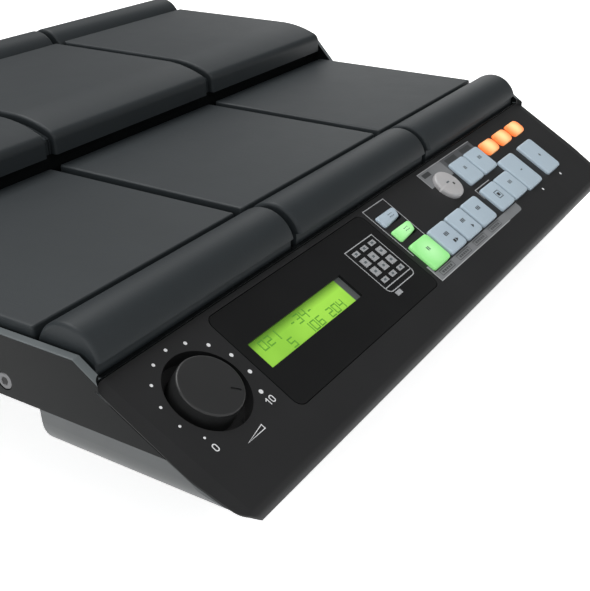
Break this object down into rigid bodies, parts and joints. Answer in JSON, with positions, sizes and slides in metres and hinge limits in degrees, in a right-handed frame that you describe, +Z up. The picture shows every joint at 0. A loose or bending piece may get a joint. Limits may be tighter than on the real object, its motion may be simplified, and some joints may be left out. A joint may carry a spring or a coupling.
{
  "type": "electronic percussion pad",
  "caption": "Desktop electronic percussion pad with stepped rubber playing surfaces, half-round bars, a sloping key panel, a display and a volume knob.",
  "frame": {"origin": "on the table under the middle of the case", "axes": "+X to the player's right, +Y away from the player, +Z up"},
  "size_m": [0.345, 0.319, 0.096],
  "materials": {
    "case_plastic": "fine moulded texture, charcoal",
    "panel_plastic": "satin black",
    "cover_plastic": "smooth dark sheet",
    "display": "back-lit yellow-green",
    "frame_metal": "plated steel",
    "lamp_plastic": "pale translucent",
    "circuit_board": "green lacquer",
    "switch_plastic": "black",
    "knob_plastic": "black satin",
    "plate_steel": "zinc plated",
    "cushion_foam": "closed-cell foam",
    "sensor_brass": "plain brass",
    "nut_metal": "nickel plated",
    "jack_plastic": "black moulding",
    "button_plastic": "black",
    "screw_steel": "black oxide",
    "foot_rubber": "black",
    "pad_rubber": "charcoal, finely grooved",
    "key_white": "translucent pale grey silicone",
    "key_green": "lit green from below",
    "key_orange": "lit orange from below",
    "key_grey": "pale warm grey"
  },
  "bodies": {
    "case": {"base_tub": "case_plastic", "upper_case": "case_plastic", "control_panel": "panel_plastic", "display_cover": "cover_plastic", "lcd_glass": "display", "lcd_module": "frame_metal", "indicator_lamps": "lamp_plastic", "panel_board": "circuit_board", "tact_switches": "switch_plastic", "volume_pot": "frame_metal", "pad_plates": "plate_steel", "plate_cushions": "cushion_foam", "piezo_discs": "sensor_brass", "main_board": "circuit_board", "rear_panel": "case_plastic", "jack_nuts": "nut_metal", "output_jacks": "jack_plastic", "trigger_jacks": "jack_plastic", "pedal_jacks": "jack_plastic", "midi_sockets": "jack_plastic", "usb_sockets": "frame_metal", "dc_inlet": "jack_plastic", "power_switch": "switch_plastic", "gain_pot": "switch_plastic", "cord_hook": "case_plastic", "case_screws": "screw_steel", "rubber_feet": "foot_rubber", "mount_inserts": "sensor_brass", "front_bar_left": "pad_rubber", "front_bar_middle": "pad_rubber", "front_bar_right": "pad_rubber", "low_pad_left": "pad_rubber", "low_pad_middle": "pad_rubber", "low_pad_right": "pad_rubber", "high_pad_left": "pad_rubber", "high_pad_middle": "pad_rubber", "high_pad_right": "pad_rubber", "rear_bar_left": "pad_rubber", "rear_bar_middle": "pad_rubber", "rear_bar_right": "pad_rubber"},
    "volume_control": {"volume_knob": "knob_plastic", "volume_shaft": "frame_metal"},
    "gain_control": {"gain_knob": "button_plastic"},
    "power_button": {"power_button": "button_plastic"},
    "mode_key_1": {"mode_key_1": "key_white"},
    "mode_key_2": {"mode_key_2": "key_green"},
    "mode_key_3": {"mode_key_3": "key_green"},
    "play_key_1": {"play_key_1": "key_white"},
    "play_key_2": {"play_key_2": "key_white"},
    "play_key_3": {"play_key_3": "key_white"},
    "edit_key_1": {"edit_key_1": "key_white"},
    "edit_key_2": {"edit_key_2": "key_white"},
    "edit_key_3": {"edit_key_3": "key_white"},
    "edit_key_4": {"edit_key_4": "key_white"},
    "value_key_1": {"value_key_1": "key_white"},
    "value_key_2": {"value_key_2": "key_white"},
    "lit_key_1": {"lit_key_1": "key_orange"},
    "lit_key_2": {"lit_key_2": "key_orange"},
    "lit_key_3": {"lit_key_3": "key_orange"},
    "round_key": {"round_key": "key_grey"}
  },
  "joints": [
    {"name": "mode_key_1_press", "type": "slide", "parent": "case", "child": "mode_key_1", "axis": [0, 0.5036, -0.8639], "range_m": [0, 0.0008], "stiffness_N_per_m": 600, "springref_m": -0.0003},
    {"name": "mode_key_2_press", "type": "slide", "parent": "case", "child": "mode_key_2", "axis": [0, 0.5036, -0.8639], "range_m": [0, 0.0008], "stiffness_N_per_m": 600, "springref_m": -0.0003},
    {"name": "mode_key_3_press", "type": "slide", "parent": "case", "child": "mode_key_3", "axis": [0, 0.5036, -0.8639], "range_m": [0, 0.0008], "stiffness_N_per_m": 600, "springref_m": -0.0003},
    {"name": "play_key_1_press", "type": "slide", "parent": "case", "child": "play_key_1", "axis": [0, 0.5036, -0.8639], "range_m": [0, 0.0008], "stiffness_N_per_m": 600, "springref_m": -0.0003},
    {"name": "play_key_2_press", "type": "slide", "parent": "case", "child": "play_key_2", "axis": [0, 0.5036, -0.8639], "range_m": [0, 0.0008], "stiffness_N_per_m": 600, "springref_m": -0.0003},
    {"name": "play_key_3_press", "type": "slide", "parent": "case", "child": "play_key_3", "axis": [0, 0.5036, -0.8639], "range_m": [0, 0.0008], "stiffness_N_per_m": 600, "springref_m": -0.0003},
    {"name": "edit_key_1_press", "type": "slide", "parent": "case", "child": "edit_key_1", "axis": [0, 0.5036, -0.8639], "range_m": [0, 0.0008], "stiffness_N_per_m": 600, "springref_m": -0.0003},
    {"name": "edit_key_2_press", "type": "slide", "parent": "case", "child": "edit_key_2", "axis": [0, 0.5036, -0.8639], "range_m": [0, 0.0008], "stiffness_N_per_m": 600, "springref_m": -0.0003},
    {"name": "edit_key_3_press", "type": "slide", "parent": "case", "child": "edit_key_3", "axis": [0, 0.5036, -0.8639], "range_m": [0, 0.0008], "stiffness_N_per_m": 600, "springref_m": -0.0003},
    {"name": "edit_key_4_press", "type": "slide", "parent": "case", "child": "edit_key_4", "axis": [0, 0.5036, -0.8639], "range_m": [0, 0.0008], "stiffness_N_per_m": 600, "springref_m": -0.0003},
    {"name": "value_key_1_press", "type": "slide", "parent": "case", "child": "value_key_1", "axis": [0, 0.5036, -0.8639], "range_m": [0, 0.0008], "stiffness_N_per_m": 600, "springref_m": -0.0003},
    {"name": "value_key_2_press", "type": "slide", "parent": "case", "child": "value_key_2", "axis": [0, 0.5036, -0.8639], "range_m": [0, 0.0008], "stiffness_N_per_m": 600, "springref_m": -0.0003},
    {"name": "lit_key_1_press", "type": "slide", "parent": "case", "child": "lit_key_1", "axis": [0, 0.5036, -0.8639], "range_m": [0, 0.0008], "stiffness_N_per_m": 600, "springref_m": -0.0003},
    {"name": "lit_key_2_press", "type": "slide", "parent": "case", "child": "lit_key_2", "axis": [0, 0.5036, -0.8639], "range_m": [0, 0.0008], "stiffness_N_per_m": 600, "springref_m": -0.0003},
    {"name": "lit_key_3_press", "type": "slide", "parent": "case", "child": "lit_key_3", "axis": [0, 0.5036, -0.8639], "range_m": [0, 0.0008], "stiffness_N_per_m": 600, "springref_m": -0.0003},
    {"name": "round_key_press", "type": "slide", "parent": "case", "child": "round_key", "axis": [0, 0.5036, -0.8639], "range_m": [0, 0.0008], "stiffness_N_per_m": 600, "springref_m": -0.0003},
    {"name": "volume_turn", "type": "hinge", "parent": "case", "child": "volume_control", "pos_m": [-0.1423, -0.12573, 0.04977], "axis": [0, -0.5036, 0.8639], "range_deg": [0, 270]},
    {"name": "gain_turn", "type": "hinge", "parent": "case", "child": "gain_control", "pos_m": [-0.11832, 0.152, 0.026], "axis": [0, 1, 0], "range_deg": [-135, 135]},
    {"name": "power_press", "type": "slide", "parent": "case", "child": "power_button", "axis": [0, -1, 0], "range_m": [0, 0.0025], "stiffness_N_per_m": 400, "springref_m": -0.0005}
  ]
}
